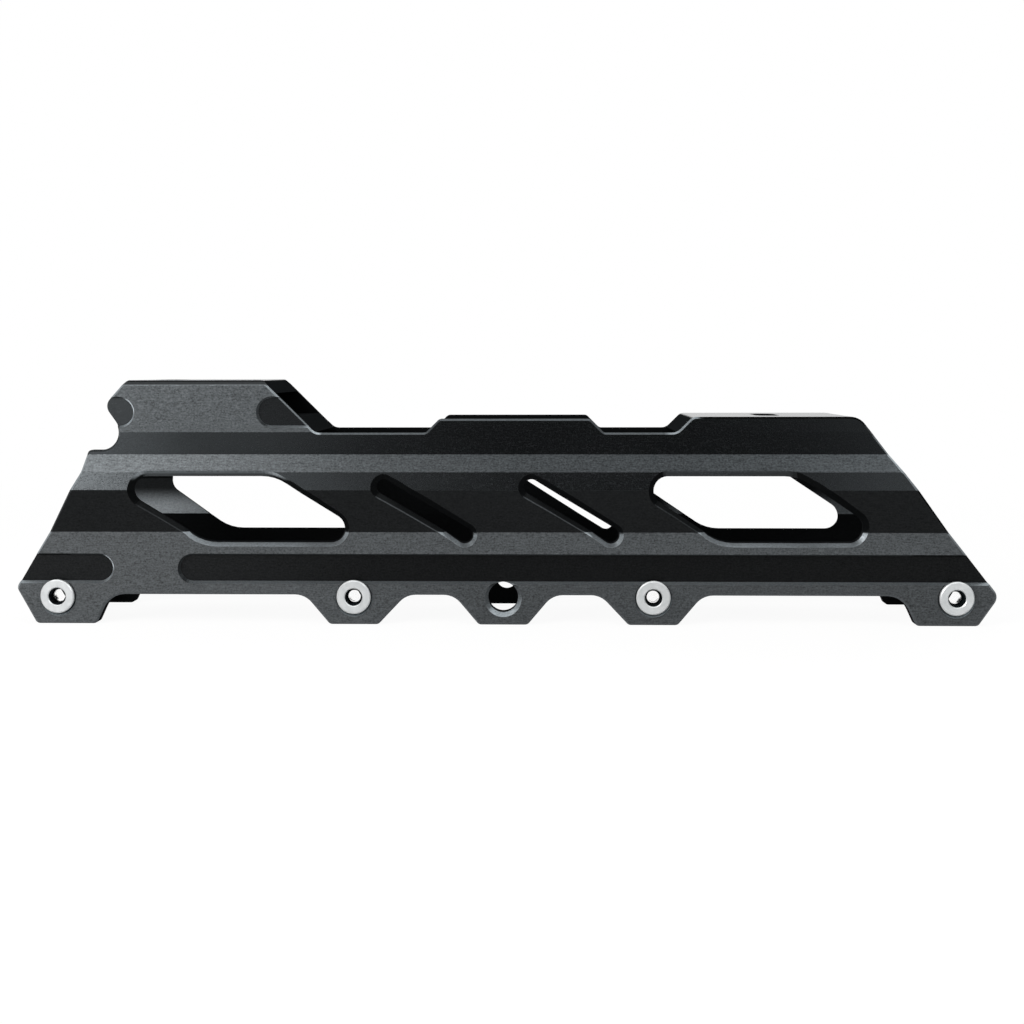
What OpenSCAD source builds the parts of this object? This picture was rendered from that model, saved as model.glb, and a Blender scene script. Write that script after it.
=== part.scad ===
// Inline skate frame: one machined aluminium channel with four two-piece wheel axles.
// The toe points to +X, the left side to +Y and the boot sits above, at +Z.
// The origin is the centre of the spare middle axle hole, on the axle line.

/* [Axles] */
// Distance from the rear axle to the front axle
wheelbase = 243; // [225:1:265]
// Shank diameter of the axle sleeves, in the right wall
axle_d = 8; // [7:0.1:8.6]
// Shank and thread diameter of the axle bolts, in the left wall
bolt_d = 5.8; // [5:0.1:6]
// Radial play of a shank in its hole
axle_play = 0.05; // [0.02:0.01:0.1]
// Mouth of the countersinks, measured on the axle line
sink_d = 10; // [9.7:0.1:10.4]
// Diameter of the axle heads
head_d = 9.2; // [9:0.1:9.6]
// How far the heads stand out of the walls
head_proud = 1; // [0.4:0.1:2]
// Width across the flats of the hexagon sockets
socket_w = 4; // [3:0.5:5]
// Depth of the hexagon sockets
socket_depth = 2.4; // [1.5:0.1:3]
// Length of thread that holds a bolt in its sleeve
thread_l = 10; // [6:0.5:14]

/* [Wheels] */
// Largest wheel, three of which fit
big_wheel_d = 110; // [100:1:112]
// Room left around the largest wheel under the decks
wheel_room = 1.5; // [1:0.1:3]

/* [Section] */
// Gap between the walls at the axles
channel_w = 29; // [28:0.1:29.6]
// Width across the walls on the axle line
axle_w = 35; // [34.6:0.1:36]
// Lean of the lower panels, in degrees
panel_lean = 4; // [2:0.5:6]
// Wall thickness above the crease
wall = 2.2; // [2:0.1:2.6]
// Height of the crease above the axle line
crease_z = 17.5; // [16:0.1:19]
// Height of the ridge, where the section is widest
ridge_z = 29.25; // [27:0.1:31]
// Width across the ridges
ridge_w = 40; // [38:0.1:42]
// Height of the shoulder above the ridge
shoulder_z = 34; // [33:0.1:35.5]
// Width across the shoulders
shoulder_w = 38.6; // [37:0.1:39.6]
// Height of the waist under the decks
waist_z = 38.6; // [37:0.1:40]
// Width across the waist
waist_w = 33.6; // [32.5:0.1:35]
// Height where the rear block starts
neck_z = 44.6; // [42:0.1:46]
// Width across the neck
neck_w = 34; // [33:0.1:35]
// Width across the top of the rear block
block_w = 33.2; // [32:0.1:34]
// Bevel along the top of the rear block
block_bevel = 1.3; // [0.6:0.1:1.8]

/* [Decks] */
// Height of the front deck above the axle line
front_deck_z = 48.6; // [47.5:0.1:51]
// Thickness of the front deck and of the web at the same height under the rear deck
web_t = 4.1; // [3:0.1:4.1]
// Height of the rear deck above the axle line
rear_deck_z = 58.5; // [57:0.1:62]
// Thickness of the rear deck
rear_deck_t = 3.5; // [2.5:0.1:4.5]
// Distance between the boot bolts
bolt_pitch = 165; // [160:1:168]
// Place of the front boot bolt along the frame
front_bolt_x = 72.2; // [68:0.1:76]
// Width of the boot bolt slots
bolt_slot_w = 6.6; // [5:0.1:8]
// Length of the boot bolt slots across the frame
bolt_slot_l = 16; // [10:0.5:22]

/* [Side outline] */
// Depth of the axle feet below the axle line
foot_drop = 7.5; // [6.5:0.1:9]
// Height of the lower edge between the feet
base_z = 0.5; // [-0.5:0.1:2]
// Half the flat of a middle foot
foot_half = 6.6; // [5.5:0.1:8]
// Run of the steep foot flanks
flank_run = 6.8; // [4:0.1:7.4]
// Run of the easy foot flanks, towards the middle hole
easy_run = 7.6; // [5:0.1:9]
// Flat of an end foot, from its axle inwards
end_foot_in = 10.5; // [7:0.1:12]
// Run of the end feet's inner flanks
end_flank_run = 3.8; // [2:0.1:6]
// Flat of an end foot, from its axle outwards
end_foot_out = 6; // [5:0.1:7]
// Reach of the frame beyond the end axles
tip_reach = 11.5; // [9:0.1:13]
// Height of the rear tip
rear_tip_z = 2.3; // [1:0.1:4]
// Height of the front tip
front_tip_z = 0.4; // [-1:0.1:2]
// Height of the saddles between the decks
saddle_z = 44.4; // [43:0.1:44.4]
// Height of the raised middle of the walls
crown_z = 48.1; // [46.5:0.1:48.5]
// Rear end of the raised middle
crown_x0 = -17; // [-22:0.1:-12]
// Front end of the raised middle
crown_x1 = 23.3; // [18:0.1:26]
// Rear end of the rear deck
rear_deck_x0 = -101.2; // [-104:0.1:-99.8]
// Front end of the rear deck
rear_deck_x1 = -64.5; // [-70:0.1:-60]
// Rear end of the front deck
front_deck_x0 = 50.6; // [46:0.1:56]
// Front end of the front deck
front_deck_x1 = 94.6; // [90:0.1:98]
// Sharp corner of the block's nose along the frame, before it is rounded
nose_x = -107.4; // [-108.2:0.1:-106.4]
// Height of the nose's sharp corner
nose_z = 51.75; // [51:0.05:53]
// Radius of the nose
nose_r = 2.8; // [1.5:0.1:3]
// Centre of the heel notch along the frame
notch_x = -108.5; // [-109.5:0.05:-107.5]
// Height of the heel notch's centre
notch_z = 44.7; // [44:0.1:45.2]
// Radius of the heel notch
notch_r = 4.9; // [4.2:0.1:5.2]
// Rear end of the lip under the notch
lip_x = -112.1; // [-114:0.1:-111.5]
// Bevel along the outer edges of the walls
edge_bevel = 0.5; // [0.2:0.1:0.6]

/* [Openings] */
// Middle of the row of openings along the frame
row_x = -1.4; // [-4:0.1:2]
// Height of the middle of the windows
window_z = 23.9; // [22.5:0.1:24.5]
// Distance between the two windows
window_pitch = 139.6; // [132:0.1:148]
// Length of a window
window_l = 59.2; // [50:0.1:64]
// Height of a window
window_h = 20.7; // [16:0.1:21.5]
// Corner radius at the pointed ends of a window
window_tip_r = 5.2; // [3:0.1:6]
// Corner radius at the blunt corners of a window
window_belly_r = 13.4; // [11:0.1:16]
// Distance between the blunt corners along the frame
window_belly_l = 13; // [9:0.1:17]
// Height of the middle of the slots
slot_z = 23.4; // [22.5:0.1:24.5]
// Distance between the two slots
slot_pitch = 39.5; // [36:0.1:42]
// Distance between the end centres of a slot along the frame
slot_run = 21.4; // [16:0.1:25]
// Drop of a slot from its rear end to its front end
slot_fall = 13.2; // [9:0.1:14.5]
// Width of a slot
slot_w = 6.9; // [5:0.1:8]
// Bevel round the openings
opening_bevel = 1.4; // [0.3:0.1:1.6]

/* [Grooves] */
// Height of the long groove's lower edge
groove_z = 4.2; // [4:0.1:5.5]
// Width of the long groove
groove_w = 7; // [5:0.1:8]
// Depth of the grooves at their upper edge
groove_depth = 0.7; // [0.3:0.1:1]
// Flare of the grooves' sides, sideways for each millimetre of depth
groove_flare = 0.6; // [0.2:0.05:0.8]
// Rear end of the bare pad in the long groove
pad_x0 = -106.6; // [-109:0.1:-103]
// Front end of the bare pad in the long groove
pad_x1 = -88; // [-92:0.1:-84]
// Height of the block pockets' lower edge
pocket_z = 46.35; // [45.5:0.1:47.5]
// Width of the block pockets
pocket_w = 7.35; // [5:0.1:8]
// Rear end of the bare pad on the block
block_pad_x0 = -99.6; // [-102:0.1:-97]
// Front end of the bare pad on the block
block_pad_x1 = -65.7; // [-69:0.1:-63]

/* [Hidden] */
$fn = 64;

// Axle places along the frame, counted from the toe
end_x = wheelbase / 2;
inner_x = wheelbase / 6;
hole_xs = [end_x, inner_x, 0, -inner_x, -end_x];

// Overshoot of a cutting tool past the face it opens
past = 1;
// Angle of one chord on a rounded corner
chord = 9;
// Least distance of an outline's corner from a fold
sliver = 0.05;

// Corner radii of the side outline
edge_r = 1.5;
rear_tip_r = 1.8;
front_tip_r = 2.8;
root_r = 6;
end_root_r = 6.5;
ramp_foot_r = 3;
ramp_top_r = 1.5;
toe_ramp_r = 2.4;
toe_corner_r = 5;
lip_r = 1.4;
heel_knee_r = 3;
// How far the knee under the lip stands out behind it
knee_step = 1.3;

// Wall section of the left side as [half width, height] pairs, from the feet up
panel_slope = tan(panel_lean);
function panel_half(z) = axle_w / 2 - panel_slope * z;
outer = [
    [panel_half(-foot_drop), -foot_drop],
    [panel_half(crease_z), crease_z],
    [ridge_w / 2, ridge_z],
    [shoulder_w / 2, shoulder_z],
    [waist_w / 2, waist_z],
    [neck_w / 2, neck_z],
    [block_w / 2, rear_deck_z - block_bevel],
    [block_w / 2 - block_bevel, rear_deck_z],
];
face_table = [for (p = outer) [p[1], p[0]]];
function face_half(z) = lookup(z, face_table);

// Points of the inside of the wall: the facets move inwards by the wall thickness
function unit(v) = v / norm(v);
function inward(a, b) = unit([a[1] - b[1], b[0] - a[0]]);
function inset(a, b, c, t) =
    let (m = inward(a, b), n = inward(b, c))
    b + t * (m + n) / (1 + m * n);
ridge_in = inset(outer[1], outer[2], outer[3], wall);
facet_run = (outer[2][1] - outer[1][1]) / (outer[2][0] - outer[1][0]);
crease_in = [channel_w / 2, ridge_in[1] + (channel_w / 2 - ridge_in[0]) * facet_run];
inner = concat(
    [[block_w / 2 - wall, rear_deck_z]],
    [for (i = [5:-1:3]) inset(outer[i - 1], outer[i], outer[i + 1], wall)],
    [ridge_in, crease_in, [channel_w / 2, -foot_drop]]
);

// Rounded outlines: each corner is [x, z, radius], taken in turn
function arc(c, r, from, to) =
    let (n = max(1, ceil(abs(to - from) / chord)))
    [for (k = [0:n]) let (a = from + (to - from) * k / n) c + r * [cos(a), sin(a)]];
function short_turn(d) = d > 180 ? d - 360 : d < -180 ? d + 360 : d;
function xz(p) = [p[0], p[1]];
function rounded_corner(before, p, after, r) =
    let (
        a = unit(before - p),
        b = unit(after - p),
        half = acos(a * b) / 2,
        c = p + unit(a + b) * r / sin(half),
        s = p + a * r / tan(half) - c,
        e = p + b * r / tan(half) - c,
        from = atan2(s[1], s[0])
    )
    arc(c, r, from, from + short_turn(atan2(e[1], e[0]) - from));
function rounded(points) =
    let (n = len(points))
    [for (i = [0:n - 1])
        let (p = points[i])
        each p[2] == 0 ? [xz(p)]
            : rounded_corner(xz(points[(i + n - 1) % n]), xz(p), xz(points[(i + 1) % n]), p[2])];

// Belt round circles [x, z, radius] taken anticlockwise
function belt_angle(a, b) =
    let (v = xz(b) - xz(a))
    atan2(v[1], v[0]) - acos((a[2] - b[2]) / norm(v));
function rising(from, to) =
    to < from ? rising(from, to + 360)
    : to > from + 360 ? rising(from, to - 360)
    : to;
function belt_arc(before, c, after) =
    let (from = belt_angle(before, c))
    arc(xz(c), c[2], from, rising(from, belt_angle(c, after)));
function belt(circles) =
    let (n = len(circles))
    [for (i = [0:n - 1]) each belt_arc(circles[(i + n - 1) % n], circles[i], circles[(i + 1) % n])];

// An anticlockwise outline moved outwards by d, point by point
function grown(points, d) =
    let (n = len(points))
    [for (i = [0:n - 1]) inset(points[(i + n - 1) % n], points[i], points[(i + 1) % n], -d)];

// The same outline with a point wherever it crosses a fold of the walls
folds = [for (p = outer) p[1]];
function crossed(a, b) =
    let (order = a[1] < b[1] ? [0:1:len(folds) - 1] : [len(folds) - 1:-1:0])
    [for (i = order)
        let (up = folds[i] - a[1], down = b[1] - folds[i])
        if (up * down > 0 && min(abs(up), abs(down)) > sliver) a + (b - a) * up / (b[1] - a[1])];
function folded(points) =
    let (n = len(points))
    [for (i = [0:n - 1]) each concat([points[i]], crossed(points[i], points[(i + 1) % n]))];

// Rings of side-view points in an upright plane, or at a height above the left wall's folded face
function flat_ring(points, y) = [for (p = points) [p[0], y, p[1]]];
function face_ring(points, up) = [for (p = points) [p[0], face_half(p[1]) + up, p[1]]];

// Side outline, anticlockwise from the rear tip along the feet
foot_z = -foot_drop;
rear_ramp_x = rear_deck_x1 + rear_deck_z - saddle_z;
front_ramp_x = front_deck_x0 - front_deck_z + saddle_z;
function mid_foot(x, rear_run, front_run) = [
    [x - foot_half - rear_run, base_z, root_r],
    [x - foot_half, foot_z, edge_r],
    [x + foot_half, foot_z, edge_r],
    [x + foot_half + front_run, base_z, root_r],
];
end_root = end_x - end_foot_in - end_flank_run;
to_nose = [nose_x - notch_x, nose_z - notch_z];
notch_start = atan2(to_nose[1], to_nose[0]) - acos(notch_r / norm(to_nose));
lip_z = notch_z - notch_r;
side_outline = rounded(concat(
    [[-end_x - tip_reach, rear_tip_z, rear_tip_r], [-end_x - end_foot_out, foot_z, edge_r]],
    [[-end_x + end_foot_in, foot_z, edge_r], [-end_root, base_z, end_root_r]],
    mid_foot(-inner_x, flank_run, easy_run),
    mid_foot(0, flank_run, flank_run),
    mid_foot(inner_x, easy_run, flank_run),
    [[end_root, base_z, end_root_r], [end_x - end_foot_in, foot_z, edge_r]],
    [[end_x + end_foot_out, foot_z, edge_r], [end_x + tip_reach, front_tip_z, front_tip_r]],
    [[front_deck_x1, front_deck_z, toe_corner_r], [front_deck_x0, front_deck_z, toe_ramp_r]],
    [[front_ramp_x, saddle_z, ramp_foot_r]],
    [[crown_x1 + crown_z - saddle_z, saddle_z, ramp_top_r], [crown_x1, crown_z, ramp_top_r]],
    [[crown_x0, crown_z, ramp_top_r], [crown_x0 - crown_z + saddle_z, saddle_z, ramp_top_r]],
    [[rear_ramp_x, saddle_z, ramp_foot_r]],
    [[rear_deck_x1, rear_deck_z, ramp_top_r], [rear_deck_x0, rear_deck_z, edge_r]],
    [[nose_x, nose_z, nose_r]],
    [for (p = arc([notch_x, notch_z], notch_r, notch_start, -90)) [p[0], p[1], 0]],
    [[lip_x, lip_z, lip_r], [lip_x - knee_step, shoulder_z, heel_knee_r]]
));

// Circles that the windows and slots are belts of
tip_dx = window_l / 2 - window_tip_r;
tip_dz = window_h / 2 - window_tip_r;
belly_dz = window_belly_r - window_h / 2;
function window_circles(x) = [
    [x - tip_dx, window_z + tip_dz, window_tip_r],
    [x - window_belly_l / 2, window_z + belly_dz, window_belly_r],
    [x + tip_dx, window_z - tip_dz, window_tip_r],
    [x + window_belly_l / 2, window_z - belly_dz, window_belly_r],
];
function slot_circles(x) = [
    [x - slot_run / 2, slot_z + slot_fall / 2, slot_w / 2],
    [x + slot_run / 2, slot_z - slot_fall / 2, slot_w / 2],
];
openings = [
    window_circles(row_x - window_pitch / 2),
    slot_circles(row_x - slot_pitch / 2),
    slot_circles(row_x + slot_pitch / 2),
    window_circles(row_x + window_pitch / 2),
];

// Places across the frame
widest = ridge_w / 2 + past;
function hole_r(d) = d / 2 + axle_play;
function seat_y(d) = axle_w / 2 - sink_d / 2 + hole_r(d);
head_y = axle_w / 2 + head_proud;
// Gap under the heads' cones and width of the bevels on the axle pieces
seat_gap = 0.3;
rim = 0.3;
// Gap from a sleeve's end to the left wall and room past the bolt's thread
end_gap = 0.3;
sleeve_end = channel_w / 2 - end_gap;
bore_room = 1.5;
// Rise of the outline's bevel above the wall that it trims
bevel_past = 0.2;
// Mid planes of the walls above the waist, between which the decks reach
core = [
    inset(outer[3], outer[4], outer[5], wall / 2),
    inset(outer[4], outer[5], outer[6], wall / 2),
    [block_w / 2 - max(wall / 2, block_bevel + rim), rear_deck_z + past],
];
web_z = front_deck_z - web_t;
rear_bolt_x = front_bolt_x - bolt_pitch;
rear_bound = -end_x - tip_reach - past;
front_bound = end_x + tip_reach + past;

module along_x(x0, x1) {
    translate([x0, 0, 0]) rotate([90, 0, 90]) linear_extrude(x1 - x0) children();
}

module along_y(y0, y1) {
    translate([0, y1, 0]) rotate([90, 0, 0]) linear_extrude(y1 - y0) children();
}

module both_sides() {
    children();
    mirror([0, 1, 0]) children();
}

// Solid through rings of points, from the outer ring to the inner one; the end rings are flat
module loft(rings) {
    n = len(rings[0]);
    last = n * (len(rings) - 1);
    sides = [for (k = [0:len(rings) - 2], i = [0:n - 1])
        let (a = k * n + i, b = k * n + (i + 1) % n)
        each [[a, a + n, b], [b, a + n, b + n]]];
    caps = [[for (i = [0:n - 1]) i], [for (i = [n - 1:-1:0]) last + i]];
    polyhedron([for (ring = rings) each ring], concat(sides, caps));
}

// The two folded walls, cut to the side outline and bevelled along their outer edges
module walls() {
    edge = folded(side_outline);
    top = grown(edge, -edge_bevel - bevel_past);
    both_sides() intersection() {
        along_x(rear_bound, front_bound) polygon(concat(outer, inner));
        loft([
            flat_ring(top, widest), face_ring(top, bevel_past),
            face_ring(edge, -edge_bevel), flat_ring(edge, 0),
        ]);
    }
}

// Front deck, rear deck and the web under it, with room for the end wheels
module decks() {
    intersection() {
        both_sides() along_x(rear_bound, front_bound)
            polygon(concat(core, [[0, core[2][1]], [0, core[0][1]]]));
        along_y(-widest, widest) difference() {
            intersection() {
                polygon(side_outline);
                union() {
                    translate([rear_bound, rear_deck_z - rear_deck_t])
                        square([rear_ramp_x - rear_bound, rear_deck_t]);
                    translate([rear_bound, web_z]) square([rear_ramp_x - rear_bound, web_t]);
                    translate([front_ramp_x, web_z]) square([front_deck_x1 - front_ramp_x, web_t]);
                }
            }
            for (x = [-end_x, 0, end_x]) translate([x, 0]) circle(big_wheel_d / 2 + wheel_room);
        }
    }
}

// One opening with a bevelled mouth that follows the folded face of the left wall
module opening(circles) {
    edge = folded(belt(circles));
    mouth = grown(edge, past);
    throat = grown(edge, -opening_bevel);
    loft([
        flat_ring(mouth, widest + past), face_ring(mouth, past),
        face_ring(throat, -opening_bevel), flat_ring(throat, channel_w / 2 - past),
    ]);
}

// A groove with round ends, flared sides and an upright floor
module groove(x0, x1, z, w) {
    r = w / 2;
    floor_y = face_half(z + w) - groove_depth;
    edge = belt([[x0 + r, z + r, r], [x1 - r, z + r, r]]);
    loft([flat_ring(grown(edge, groove_flare * (widest - floor_y)), widest), flat_ring(edge, floor_y)]);
}

// Countersunk hole through the left wall for a shank of diameter d
module wall_hole(d) {
    seat = seat_y(d);
    rotate([-90, 0, 0]) cylinder(h = widest, r = hole_r(d));
    translate([0, seat, 0]) rotate([-90, 0, 0])
        cylinder(h = widest - seat, r1 = hole_r(d), r2 = hole_r(d) + widest - seat);
}

// Holes for one axle: its bolt's in the left wall and its sleeve's in the right wall
module axle_hole(x) {
    translate([x, 0, 0]) {
        wall_hole(bolt_d);
        mirror([0, 1, 0]) wall_hole(axle_d);
    }
}

module bolt_slot(x, top, t) {
    reach = (bolt_slot_l - bolt_slot_w) / 2;
    translate([x, 0, top - t - past]) linear_extrude(t + 2 * past)
        polygon(belt([for (s = [-1, 1]) [0, s * reach, bolt_slot_w / 2]]));
}

module frame_body() {
    color([0.13, 0.13, 0.14]) difference() {
        union() {
            walls();
            decks();
        }
        both_sides() {
            for (circles = openings) opening(circles);
            groove(rear_bound - groove_w, pad_x0, groove_z, groove_w);
            groove(pad_x1, front_bound + groove_w, groove_z, groove_w);
            groove(nose_x - pocket_w, block_pad_x0, pocket_z, pocket_w);
            groove(block_pad_x1, rear_ramp_x + pocket_w, pocket_z, pocket_w);
        }
        for (x = hole_xs) axle_hole(x);
        bolt_slot(front_bolt_x, front_deck_z, web_t);
        bolt_slot(rear_bolt_x, rear_deck_z, rear_deck_t);
    }
}

// Countersunk head of the left side with its hexagon socket, on a shank of diameter d that ends at shank_y
module axle_head(d, shank_y) {
    shank_r = d / 2;
    head_r = head_d / 2;
    cone_y = seat_y(d) + seat_gap;
    flat_r = socket_w / 2;
    corner_r = flat_r / cos(30);
    difference() {
        rotate([-90, 0, 0]) rotate_extrude() polygon([
            [0, shank_y], [shank_r - rim, shank_y], [shank_r, shank_y + rim],
            [shank_r, cone_y], [head_r, cone_y + head_r - shank_r],
            [head_r, head_y - rim], [head_r - rim, head_y], [0, head_y],
        ]);
        along_y(head_y - socket_depth, head_y + past) circle(corner_r, $fn = 6);
        translate([0, head_y - socket_depth - rim, 0]) rotate([-90, 0, 0])
            cylinder(h = socket_depth, r = flat_r - 2 * rim);
        translate([0, head_y - rim, 0]) rotate([-90, 0, 0])
            cylinder(h = rim + past, r1 = corner_r, r2 = corner_r + rim + past);
    }
}

// Right half of an axle: a sleeve that spans the channel, threaded at its far end
module axle_sleeve(x) {
    color([0.78, 0.8, 0.81]) translate([x, 0, 0]) difference() {
        mirror([0, 1, 0]) axle_head(axle_d, -sleeve_end);
        translate([0, sleeve_end - thread_l - bore_room, 0]) rotate([-90, 0, 0])
            cylinder(h = thread_l + bore_room + past, r = hole_r(bolt_d));
    }
}

// Left half of an axle: a bolt that screws into the sleeve
module axle_bolt(x) {
    color([0.78, 0.8, 0.81]) translate([x, 0, 0]) axle_head(bolt_d, sleeve_end - thread_l);
}

frame_body();
axle_sleeve(end_x);  // axle_sleeve_front
axle_sleeve(inner_x);  // axle_sleeve_second
axle_sleeve(-inner_x);  // axle_sleeve_third
axle_sleeve(-end_x);  // axle_sleeve_rear
axle_bolt(end_x);  // axle_bolt_front
axle_bolt(inner_x);  // axle_bolt_second
axle_bolt(-inner_x);  // axle_bolt_third
axle_bolt(-end_x);  // axle_bolt_rear
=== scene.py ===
"""Looks for the inline skate frame: black anodised channel, zinc plated axles, pale floor, soft studio light."""

import math

import bmesh
import bpy
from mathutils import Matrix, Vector


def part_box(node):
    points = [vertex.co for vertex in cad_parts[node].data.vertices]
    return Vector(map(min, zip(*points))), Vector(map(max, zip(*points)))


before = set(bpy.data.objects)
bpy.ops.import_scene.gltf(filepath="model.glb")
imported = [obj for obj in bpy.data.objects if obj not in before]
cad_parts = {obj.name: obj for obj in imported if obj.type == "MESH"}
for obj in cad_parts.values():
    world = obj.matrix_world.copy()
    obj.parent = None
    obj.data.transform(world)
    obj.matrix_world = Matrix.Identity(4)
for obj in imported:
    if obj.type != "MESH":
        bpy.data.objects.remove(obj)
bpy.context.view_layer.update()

MM = 0.001

# Sizes of the part's source, in millimetres: heights above the axles, lengths from the middle, plus to the toe
FOOT_Z, CREASE_Z, RIDGE_Z, SHOULDER_Z, WAIST_Z, NECK_Z, BLOCK_Z = -7.5, 17.5, 29.25, 34.0, 38.6, 44.6, 57.2
INNER_CREASE_Z, REAR_DECK_Z = 19.2, 58.5
GROOVE_Z, GROOVE_W = 4.2, 7.0
POCKET_Z, POCKET_W = 46.35, 7.35
END_AXLE_X, INNER_AXLE_X = 121.5, 40.5
HEAD_Y = 18.5
SOCKET_R, SOCKET_BOTTOM_R = 2.2, 1.62

# Limits of the details on top: notch under the heel's lip, heel block, ramp to the front deck, deck's side edge
NOTCH_X, NOTCH_TOP_Z = -103.4, 50.5
BLOCK_TOP_X, BLOCK_X = -63.0, -48.0
RAMP_X, DECK_X, RAMP_TOP_X = 44.0, 46.0, 52.0
DECK_EDGE_Z = 46.0
# A painted highlight line runs along the slanting front end of the pocket, where x + z passes this sum
BROW_SUM = -6.7

# Height and half width of the outer faces at each fold
FACE = [
    (FOOT_Z, 18.02), (CREASE_Z, 16.28), (RIDGE_Z, 20.0), (SHOULDER_Z, 19.3),
    (WAIST_Z, 16.8), (NECK_Z, 17.0), (BLOCK_Z, 16.6),
]
# Half the height over which one facet's finish changes to the next at a fold
FOLD = 0.05
# How squarely a face looks sideways: from edge to wall, and from bevel to facet
SIDEWAYS, SQUARE = (0.2, 0.35), (0.8, 0.86)

# Tints of the anodising, of the zinc and of the painted shade in the key sockets
INK = (0.88, 0.985, 1.05)
DARK_ZINC, PALE_ZINC, SOCKET_SHADE = (0.94, 1.0, 1.02), (0.97, 1.0, 1.01), (0.7, 1.0, 1.2)

# Studio, in metres
ROOM_LEVEL = 0.4
FLOOR_SIZE = 12.0
CARD_X, CARD_WIDE = 0.035, 0.29
LAMP_TARGET = Vector((0.0, 0.0, 0.025))

# Colour sockets of the Mix node
MIX_A, MIX_B, MIX_RESULT = 6, 7, 2


class Wire:
    """A socket in a node tree. Operators on wires add Math nodes; add() makes any other node."""

    def __init__(self, tree, socket=None):
        self.tree = tree
        self.socket = socket

    def add(self, kind, settings=None, inputs=None, output=0):
        """One output of a new node, whose settings are made first and whose sockets are then filled."""
        node = self.tree.nodes.new("ShaderNode" + kind)
        for name, value in (settings or {}).items():
            setattr(node, name, value)
        for name, value in (inputs or {}).items():
            if isinstance(value, Wire):
                self.tree.links.new(value.socket, node.inputs[name])
            else:
                node.inputs[name].default_value = value
        return Wire(self.tree, node.outputs[output]) if node.outputs else None

    def math(self, operation, *values):
        return self.add("Math", {"operation": operation}, dict(enumerate(values)))

    def __add__(self, other):
        return self.math("ADD", self, other)

    def __radd__(self, other):
        return self.math("ADD", other, self)

    def __sub__(self, other):
        return self.math("SUBTRACT", self, other)

    def __rsub__(self, other):
        return self.math("SUBTRACT", other, self)

    def __mul__(self, other):
        return self.math("MULTIPLY", self, other)

    def __rmul__(self, other):
        return self.math("MULTIPLY", other, self)

    def size(self):
        return self.math("ABSOLUTE", self)

    def sign(self):
        return self.math("SIGN", self)

    def rise(self, low, high):
        """0 below low, 1 above high, smooth between."""
        return self.add("MapRange", {"interpolation_type": "SMOOTHSTEP"},
                        {"Value": self, "From Min": low, "From Max": high})

    def above(self, level, soft=FOLD):
        """0 below the level, 1 above it."""
        return self.rise(level - soft, level + soft)

    def within(self, low, high, soft=FOLD):
        """1 between low and high, 0 outside."""
        return self.above(low, soft) * (1 - self.above(high, soft))

    def blend(self, low, high):
        """A colour from low to high as this value goes from 0 to 1."""
        return self.add("Mix", {"data_type": "RGBA"}, {"Factor": self, MIX_A: low, MIX_B: high}, output=MIX_RESULT)


def grey(value, tint=(1.0, 1.0, 1.0)):
    return (value * tint[0], value * tint[1], value * tint[2], 1.0)


def new_material(name):
    material = bpy.data.materials.new(name)
    material.use_nodes = True
    material.node_tree.nodes.clear()
    return material, Wire(material.node_tree)


def close_material(start, shader):
    start.add("OutputMaterial", inputs={"Surface": shader})


def along_axes(start, vector):
    return [start.add("SeparateXYZ", inputs={0: vector}, output=axis) for axis in "XYZ"]


def place_mm(start):
    """Object-space place in millimetres, as a vector and as x, y, z."""
    point = start.add("TexCoord", output="Object")
    point = start.add("VectorMath", {"operation": "SCALE"}, {0: point, "Scale": 1 / MM})
    return point, along_axes(start, point)


def stretched_noise(start, point, scale, detail, rough):
    """Noise that varies scale times per millimetre along each axis."""
    point = start.add("VectorMath", {"operation": "MULTIPLY"}, {0: point, 1: scale})
    return start.add("TexNoise", inputs={"Vector": point, "Scale": 1.0, "Detail": detail, "Roughness": rough})


def face_half(z):
    """Half width of the folded outer faces at height z."""
    half, slope = FACE[0][1], 0.0
    for (z0, y0), (z1, y1) in zip(FACE, FACE[1:]):
        turn = (y1 - y0) / (z1 - z0) - slope
        half = half + turn * z.math("MAXIMUM", z - z0, 0.0)
        slope += turn
    return half


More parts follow.
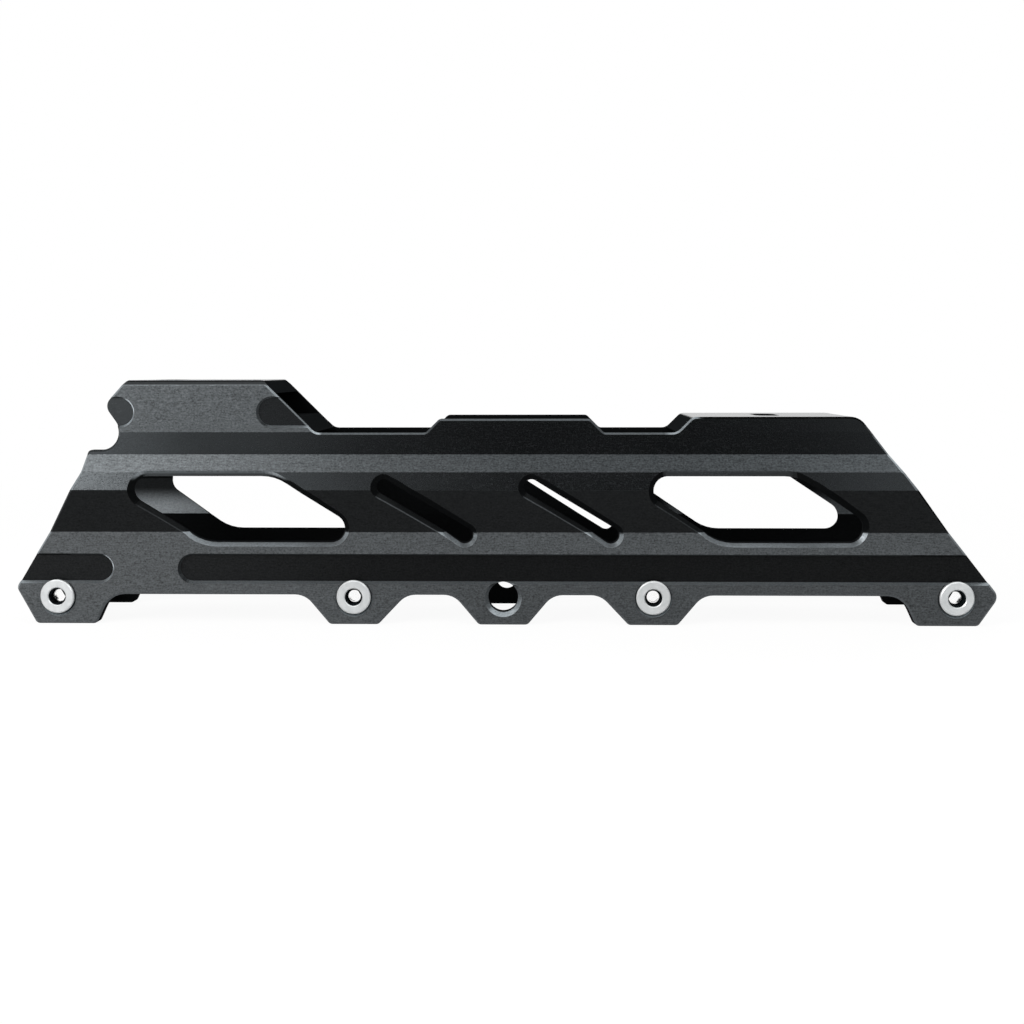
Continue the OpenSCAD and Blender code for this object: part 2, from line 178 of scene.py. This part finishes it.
class WallMap:
    """Masks, from 0 to 1, of the frame's facets and edges: by where they lie and which way they face."""

    def __init__(self, start):
        self.point, (self.x, y, self.z) = place_mm(start)
        x, z = self.x, self.z
        normal = start.add("NewGeometry", output="True Normal")
        self.toeward, sideways, upright = along_axes(start, normal)
        facing = sideways * y.sign()
        self.outside = facing.rise(*SIDEWAYS)
        self.inside = (0 - facing).rise(*SIDEWAYS)
        front_deck = z.rise(DECK_EDGE_Z - 0.5, DECK_EDGE_Z) * x.rise(DECK_X, DECK_X + 1)
        rear_deck = z.rise(BLOCK_Z - 0.2, BLOCK_Z + 0.3)
        self.top = upright.rise(0.85, 0.95) * (front_deck + rear_deck)
        outward_end = (self.toeward * x.sign()).rise(0.3, 0.5)
        self.cut_end = (1 - self.outside - self.inside) * x.size().rise(90, 94) * outward_end

        # Depth under the folded faces, for what is cut into them
        self.under = face_half(z) - y.size()
        sunk = self.under.rise(0.25, 0.45)

        # Bevels: a painted highlight on those that face up or to the heel, painted shade on the rest, and deeper
        # painted shade on a few along the top
        self.bevel = self.outside * (1 - facing.rise(*SQUARE))
        lit = (upright - 0.35 * self.toeward).rise(0.05, 0.45)
        self.painted_bright_bevel = self.bevel * lit * (1 - z.rise(BLOCK_Z - 0.3, BLOCK_Z))
        self.painted_dark_bevel = self.bevel - self.painted_bright_bevel
        self.lower_edge = self.painted_dark_bevel * (1 - z.rise(2, 4))
        # Bevels that get the deeper painted shade: the notch under the heel's lip, the front deck's edge and the
        # heel block's top rim
        notch = z.within(WAIST_Z - 0.2, NOTCH_TOP_Z, 0.1) * (1 - x.rise(NOTCH_X, NOTCH_X + 0.2))
        deck_edge = z.rise(DECK_EDGE_Z, DECK_EDGE_Z + 0.4) * x.rise(RAMP_TOP_X, RAMP_TOP_X + 2)
        block_rim = z.above(REAR_DECK_Z - 0.45, 0.1)
        self.clear_of_painted_shade = 1 - 0.9 * self.bevel * (notch + deck_edge + block_rim)

        # Facets between the folds
        self.facet = self.outside - self.bevel
        self.groove = self.facet * z.within(GROOVE_Z - 0.1, GROOVE_Z + GROOVE_W + 0.1, 0.1) * sunk
        self.panel = self.facet * (1 - z.above(CREASE_Z)) - self.groove
        self.overhang = z.within(CREASE_Z, RIDGE_Z)
        self.upper = self.facet * z.above(RIDGE_Z)
        self.rib = self.facet * z.within(RIDGE_Z, SHOULDER_Z)
        slope = self.facet * z.within(SHOULDER_Z, WAIST_Z)
        at_heel = self.facet * z.above(NECK_Z) * (1 - x.rise(BLOCK_X, BLOCK_X + 1))
        self.collar = self.facet * z.above(WAIST_Z) - at_heel
        self.pocket = at_heel * z.within(POCKET_Z - 0.1, POCKET_Z + POCKET_W + 0.1, 0.1) * sunk
        # Painted highlight line along the pocket's slanting front end
        self.brow_highlight = self.pocket * (x + z).rise(BROW_SUM, BROW_SUM + 0.2)
        self.block = at_heel - self.pocket
        self.milled = self.panel + slope + self.block


def facet_level(wall):
    """How light each facet is: partly its finish and partly painted light, with painted light falloff along the
    frame.
    """
    x, z = wall.x, wall.z
    level = 0.008 + 0.03 * wall.top + 0.042 * wall.upper + 0.028 * wall.block - 0.012 * wall.collar
    # Painted light falloff: the groove, panel, rib, collar and pocket are painted darker away from the heel
    level = level - 0.0035 * wall.groove * x.rise(-90, -20)
    level = level + 0.047 * wall.panel * (1 - 0.2 * x.rise(-60, 0) * (1 - z.rise(3, 6)))
    level = level + wall.rib * (0.02 * (1 - x.rise(-110, -70)) - 0.01 * x.rise(-40, 0))
    collar_fade = 0.006 * x.rise(-100, -70) + 0.004 * x.rise(-40, 0) + 0.005 * x.rise(60, 110)
    level = level + wall.collar * (0.025 * (1 - x.rise(-108, -80)) - collar_fade)
    return level - wall.pocket * (0.01 + 0.024 * x.rise(-75, -65)) + 0.2 * wall.brow_highlight


def edge_level(wall):
    """How much lighter the bevels are painted than the facets: painted highlights and shade, by which way they
    face and how deep they lie.
    """
    x, z, toeward = wall.x, wall.z, wall.toeward

    # Painted highlight on the bevels that face up or to the heel: faint along the top ahead of the heel block, in
    # the overhang and deep in the openings, where painted shade takes over
    shallow = 1 - wall.under.rise(0.2, 0.4)
    overhang_mouth = wall.overhang * (1 - (0.12 + 0.14 * x.within(-42, 42, 3)) * shallow)
    mouth = overhang_mouth + (1 - wall.overhang) * wall.under.rise(0.95, 1.15)
    high = z.rise(43, 44) * x.above(BLOCK_X - 1, 0.5)
    edge_light = 0.22 - high * (0.172 - 0.11 * x.within(RAMP_X, RAMP_TOP_X, 1) + 0.04 * x.above(RAMP_TOP_X, 1))
    in_groove = z.within(GROOVE_Z - 0.8, GROOVE_Z + GROOVE_W + 0.8, 0.1) * x.within(-118, 110, 0.5)
    in_pocket = z.within(POCKET_Z - 0.8, POCKET_Z + POCKET_W + 0.8, 0.1) * x.within(-103, -62, 0.5)
    sunk_end = in_groove + in_pocket
    level = wall.painted_bright_bevel * edge_light * (1 - mouth) * (1 - 0.85 * sunk_end * toeward.rise(0.1, 0.5))

    # Painted highlight on the round ends of the grooves that face the heel, and on the cut of the slope at the toe
    level = level + wall.bevel * sunk_end * (0.02 + 0.42 * (0 - toeward).rise(0.2, 0.6))
    toe_slope = z.within(SHOULDER_Z, WAIST_Z, 0.1) * x.rise(80, 90)
    level = level + 0.14 * wall.bevel * toeward.rise(0.3, 0.5) * toe_slope

    # Painted shade on the bevels that face down, apart from painted highlights on the frame's lower edge and the
    # top of the rear window
    window_top = z.rise(31.5, 33.5) * (1 - z.rise(35, 36)) * (1 - x.rise(-43, -40))
    lintel = window_top * (1 - wall.under.rise(0.5, 1.0))
    down_light = 0.02 * z.rise(WAIST_Z, NECK_Z) + 0.2 * lintel + 0.07 * wall.lower_edge - 0.004
    level = level + wall.painted_dark_bevel * down_light

    # Painted highlight line under the heel block's top bevel
    hem = z.within(BLOCK_Z - 0.15, BLOCK_Z + 0.2, 0.1) * (1 - x.rise(BLOCK_TOP_X, BLOCK_TOP_X + 1))
    return level + 0.06 * wall.outside * hem


def inner_level(wall):
    """Insides of the walls: painted black as shade, with painted light on the slope behind the windows."""
    x, z = wall.x, wall.z
    window_light = 0.19 * (1 - x.rise(-46, -40)) + 0.06 * x.rise(44, 50)
    low_slope = z.within(INNER_CREASE_Z, RIDGE_Z) * (1 - 0.97 * z.rise(CREASE_Z + 3, RIDGE_Z - 2.5))
    return wall.inside * (low_slope * window_light - 0.004)


def gloss_share(start, wall, texture):
    """Share of the glossy finish over the dull one."""
    grazing = start.add("LayerWeight", inputs={"Blend": 0.5}, output="Facing")
    gloss = 0.7 * wall.cut_end + 0.7 * wall.inside * grazing.rise(0.1, 0.4)
    gloss = gloss + (wall.facet + wall.painted_bright_bevel) * (1 - 0.7 * wall.overhang) - 0.56 * wall.groove
    high_bevel = 0.06 + 0.16 * wall.z.rise(WAIST_Z, NECK_Z)
    gloss = gloss + high_bevel * wall.painted_dark_bevel * (1 - wall.overhang) + 0.6 * wall.lower_edge
    gloss = start.math("MAXIMUM", gloss, wall.top)
    drawn = wall.facet - wall.milled
    return gloss * (1 + (1.2 + 2.4 * drawn) * texture) * wall.clear_of_painted_shade


def black_anodised():
    """Satin black anodising: milled facets with a lengthwise grain, smoother drawn facets, dull cut edges, and
    painted highlights and shade on facets, bevels and insides.
    """
    material, start = new_material("black_anodised")
    wall = WallMap(start)
    grain = stretched_noise(start, wall.point, scale=(0.5, 5.0, 5.0), detail=3.0, rough=0.6)
    speckle = stretched_noise(start, wall.point, scale=(1.9, 2.3, 2.3), detail=2.0, rough=0.7)
    cloud = stretched_noise(start, wall.point, scale=(0.03, 0.06, 0.06), detail=2.0, rough=0.5)
    texture = 0.4 * grain + 0.6 * speckle - 0.5

    level = (facet_level(wall) + edge_level(wall)) * wall.clear_of_painted_shade + inner_level(wall)
    level = level * (1 + texture * (1.6 + 2.0 * wall.milled)) * (0.88 + 0.24 * cloud)
    colour = level.blend(grey(0.0), grey(1.0, INK))
    metallic = 0.9 * (wall.upper + wall.painted_bright_bevel + 0.3 * wall.brow_highlight) + 0.5 * wall.lower_edge
    metallic = metallic - 0.35 * wall.block - 0.2 * wall.pocket
    roughness = 0.3 - 0.05 * wall.upper + 0.1 * wall.milled - 0.13 * wall.top
    roughness = roughness + 0.14 * texture + 0.08 * (cloud - 0.5)
    bump = start.add("Bump", inputs={
        "Height": texture * (0.4 + 0.6 * wall.milled), "Strength": 0.3, "Distance": 0.02 * MM})
    glossy = start.add("BsdfPrincipled", inputs={
        "Base Color": colour, "Roughness": roughness, "Metallic": metallic,
        "Specular IOR Level": 0.16, "Normal": bump})
    dull = start.add("BsdfPrincipled", inputs={
        "Base Color": colour, "Roughness": 0.7, "Specular IOR Level": 0.0, "Normal": bump})
    share = gloss_share(start, wall, texture)
    close_material(start, start.add("MixShader", inputs={0: share, 1: dull, 2: glossy}))
    return material


def zinc_plated():
    """Bright zinc on turned steel: faint turning rings, key sockets painted dark as shade, with a painted
    highlight on their bottoms.
    """
    material, start = new_material("zinc_plated")
    point, (x, y, z) = place_mm(start)
    across = start.math("MINIMUM", (x.size() - END_AXLE_X).size(), (x.size() - INNER_AXLE_X).size())
    radius = start.math("SQRT", across * across + z * z)
    depth = HEAD_Y - y.size()
    in_socket = 1 - radius.rise(SOCKET_R + 0.15, SOCKET_R + 0.2)
    socket = in_socket * depth.rise(0.2, 0.3) * (1 - depth.rise(3.2, 3.4))
    bottom = socket * (1 - radius.rise(SOCKET_BOTTOM_R, SOCKET_BOTTOM_R + 0.1)) * depth.rise(2.0, 2.2)
    socket_wall = socket - bottom
    rings = start.math("SINE", radius * 40.0)
    cloud = stretched_noise(start, point, scale=(0.5, 0.5, 0.5), detail=3.0, rough=0.6)
    speckle = stretched_noise(start, point, scale=(5.0, 5.0, 5.0), detail=2.0, rough=0.6)

    plate = cloud.blend(grey(0.46, DARK_ZINC), grey(0.66, PALE_ZINC))
    # Painted shade on the socket walls, and a painted highlight on the socket bottoms
    plate = socket_wall.blend(plate, grey(0.012, SOCKET_SHADE))
    colour = bottom.blend(plate, grey(0.97))
    roughness = 0.34 + 0.12 * (cloud - 0.5) + 0.1 * (speckle - 0.5) - 0.2 * bottom + 0.6 * socket_wall
    metallic = 0.55 + 0.45 * socket
    bump = start.add("Bump", inputs={
        "Height": (0.3 * rings + speckle) * (1 - bottom), "Strength": 0.12, "Distance": 0.01 * MM})
    close_material(start, start.add("BsdfPrincipled", inputs={
        "Base Color": colour, "Roughness": roughness, "Metallic": metallic, "Normal": bump}))
    return material


def dress_nodes(nodes):
    anodised, zinc = black_anodised(), zinc_plated()
    for name, node in nodes.items():
        node.data.materials.clear()
        node.data.materials.append(anodised if name == "frame_body" else zinc)


def seen_directly(start):
    """1 for the rays that show the background itself: camera, mirror and glass rays."""
    seen, mirrored, through = [
        start.add("LightPath", output=ray) for ray in ("Is Camera Ray", "Is Glossy Ray", "Is Transmission Ray")]
    return start.math("MAXIMUM", start.math("MAXIMUM", seen, mirrored), through)


def studio_world():
    """White where it is seen, grey where it lights the frame."""
    world = bpy.data.worlds.new("studio")
    bpy.context.scene.world = world
    world.use_nodes = True
    world.node_tree.nodes.clear()
    start = Wire(world.node_tree)
    colour = seen_directly(start).blend(grey(ROOM_LEVEL), grey(1.0))
    background = start.add("Background", inputs={"Color": colour, "Strength": 1.0})
    start.add("OutputWorld", inputs={"Surface": background})


def staged_sheet(name, wide, high, material):
    mesh = bpy.data.meshes.new(name)
    shape = bmesh.new()
    bmesh.ops.create_grid(shape, x_segments=1, y_segments=1, size=0.5)
    bmesh.ops.scale(shape, vec=(wide, high, 1.0), verts=shape.verts)
    shape.to_mesh(mesh)
    shape.free()
    mesh.materials.append(material)
    sheet = bpy.data.objects.new(name, mesh)
    bpy.context.scene.collection.objects.link(sheet)
    return sheet


def pale_floor(floor_z):
    """White floor that keeps the frame's soft shadow near it and melts into the background further out."""
    material, start = new_material("pale_floor")
    point = start.add("TexCoord", output="Object")
    distance = start.add("VectorMath", {"operation": "LENGTH"}, {0: point}, output="Value")
    glow = 0.93 + 0.07 * distance.rise(0.14, 0.5)
    painted = start.add("BsdfDiffuse", inputs={"Color": grey(0.84)})
    shown = start.add("Emission", inputs={"Color": grey(1.0), "Strength": 1.0})
    close_material(start, start.add("MixShader", inputs={0: seen_directly(start) * glow, 1: painted, 2: shown}))
    staged_sheet("floor", FLOOR_SIZE, FLOOR_SIZE, material).location.z = floor_z


def flag_cards(floor_z):
    """Black cards behind the camera and below it that keep the middle dark; only reflections show them."""
    material, start = new_material("black_card")
    close_material(start, start.add("BsdfDiffuse", inputs={"Color": grey(0.02)}))
    upright = staged_sheet("flag_card", CARD_WIDE, 0.36, material)
    upright.location = (CARD_X, -0.41, floor_z + 0.18)
    upright.rotation_euler.x = math.pi / 2
    flat = staged_sheet("floor_card", CARD_WIDE, 0.26, material)
    flat.location = (CARD_X, -0.28, floor_z + 0.001)
    for card in (upright, flat):
        card.visible_camera = False
        card.visible_diffuse = False
        card.visible_shadow = False


def softbox(name, azimuth, elevation, distance, wide, high, radiance, tint=(1.0, 1.0, 1.0)):
    """An area lamp aimed at the middle of the frame; azimuth 0 is straight in front, plus is to the toe."""
    lamp = bpy.data.lights.new(name, "AREA")
    lamp.shape = "RECTANGLE"
    lamp.size = wide
    lamp.size_y = high
    lamp.energy = radiance * math.pi * wide * high
    lamp.color = tint
    a, e = math.radians(azimuth), math.radians(elevation)
    away = Vector((math.sin(a) * math.cos(e), -math.cos(a) * math.cos(e), math.sin(e)))
    light = bpy.data.objects.new(name, lamp)
    light.location = LAMP_TARGET + distance * away
    light.rotation_euler = (-away).to_track_quat("-Z", "Y").to_euler()
    bpy.context.scene.collection.objects.link(light)


def studio_lamps():
    softbox("left_softbox", azimuth=-44, elevation=30, distance=0.75,
            wide=0.42, high=0.62, radiance=7.0, tint=(1.04, 1.0, 0.98))
    softbox("right_softbox", azimuth=50, elevation=38, distance=0.8, wide=0.4, high=0.5, radiance=2.6)
    softbox("top_softbox", azimuth=0, elevation=85, distance=0.8, wide=0.8, high=0.35, radiance=1.5)
    softbox("back_softbox", azimuth=165, elevation=48, distance=0.8, wide=0.5, high=0.5, radiance=2.2)


def photo_camera():
    """The photo's camera, as fitted to the axle holes and the outline."""
    camera = bpy.data.cameras.new("photo_camera")
    camera.sensor_width = 36.0
    camera.lens = 45.754
    camera.clip_start = 0.01
    holder = bpy.data.objects.new("photo_camera", camera)
    holder.location = (0.0117, -0.36459, 0.06107)
    holder.rotation_euler = (math.pi / 2 - 0.1087, 0.0017, 0.0265)
    bpy.context.scene.collection.objects.link(holder)
    bpy.context.scene.camera = holder


dress_nodes(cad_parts)
studio_world()
floor_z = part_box("frame_body")[0].z
pale_floor(floor_z)
flag_cards(floor_z)
studio_lamps()
photo_camera()
bpy.context.scene.view_settings.view_transform = "Standard"
